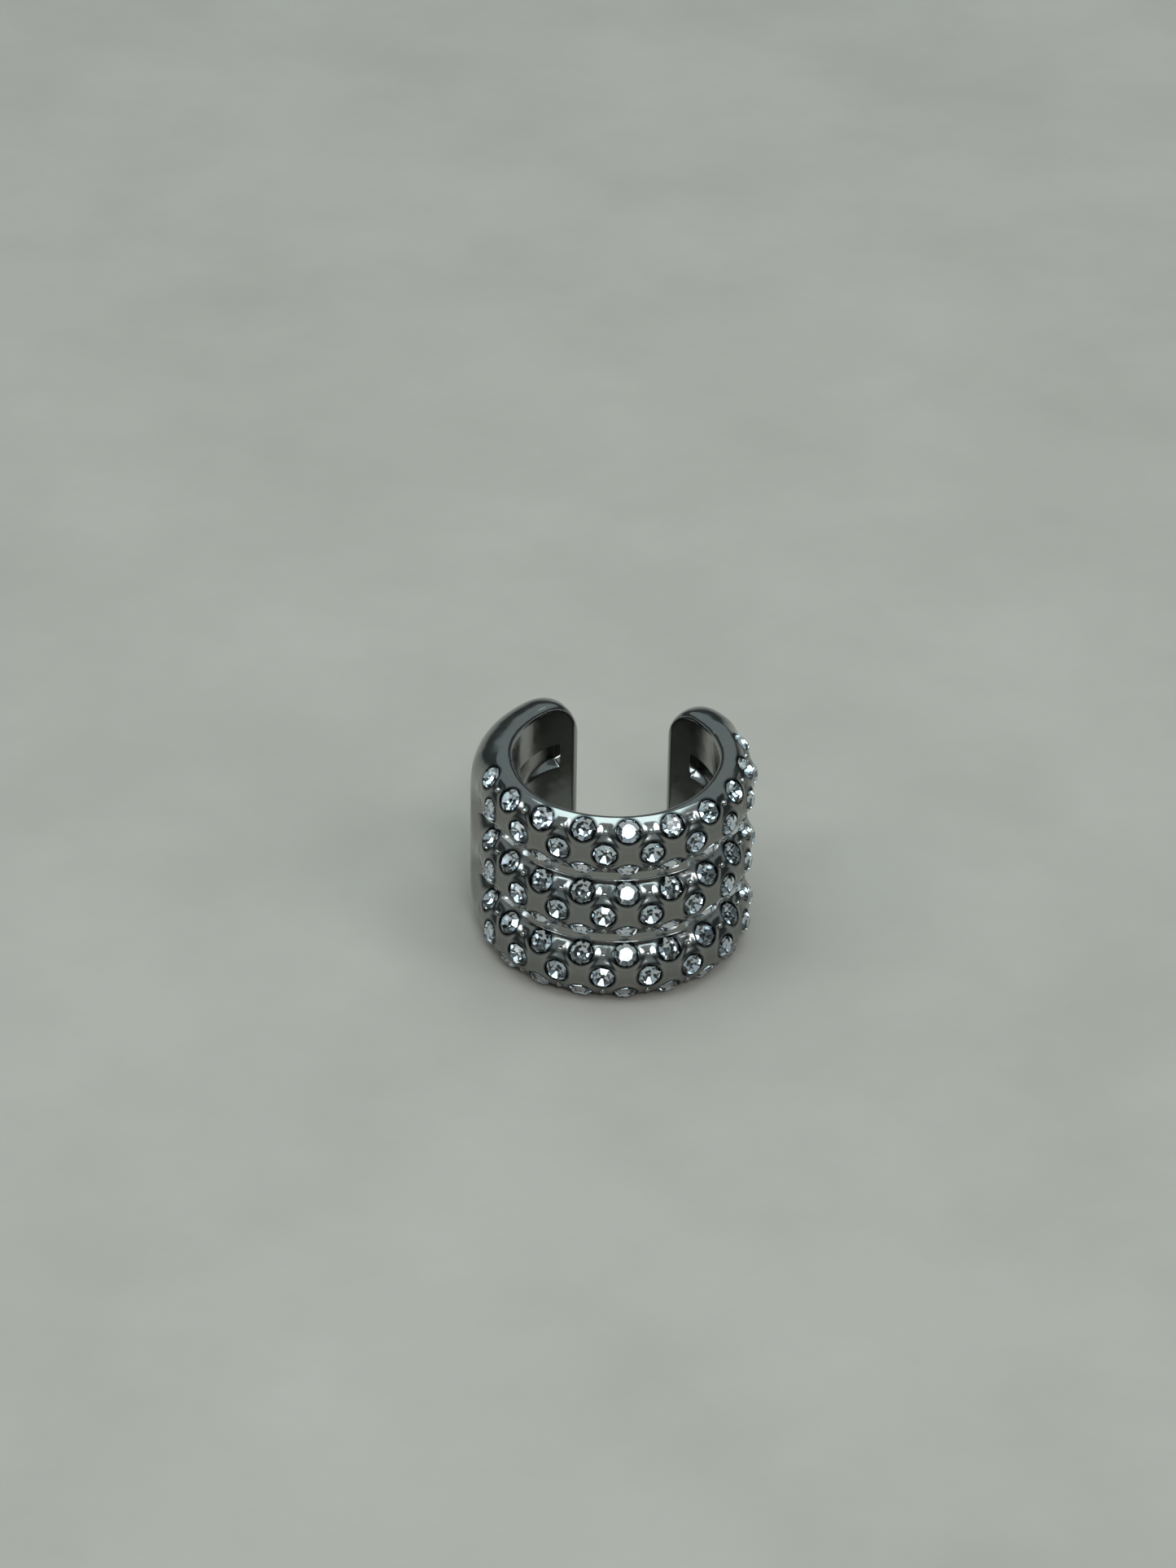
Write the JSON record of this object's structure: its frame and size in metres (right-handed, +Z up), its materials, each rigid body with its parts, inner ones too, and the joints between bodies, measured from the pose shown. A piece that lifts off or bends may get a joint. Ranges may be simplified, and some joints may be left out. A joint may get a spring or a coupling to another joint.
{
  "type": "ear cuff",
  "caption": "Wide open-back ear cuff: a C-shaped ring of stacked half-round bands in dark polished metal, each set with staggered rows of small round clear stones.",
  "frame": {"origin": "on the ring's axis, in the plane of the lower rim that the cuff stands on", "axes": "+Z up along the ring's axis, +Y from the axis to the middle of the open gap, +X to the right seen from the closed front"},
  "size_m": [0.0134, 0.0126, 0.0099],
  "materials": {
    "metal": "dark plated, polished",
    "stones": "cut, foil backed, clear"
  },
  "bodies": {
    "root": {"cuff_body": "metal", "top_band_stones": "stones", "middle_band_stones": "stones", "bottom_band_stones": "stones"}
  },
  "joints": []
}
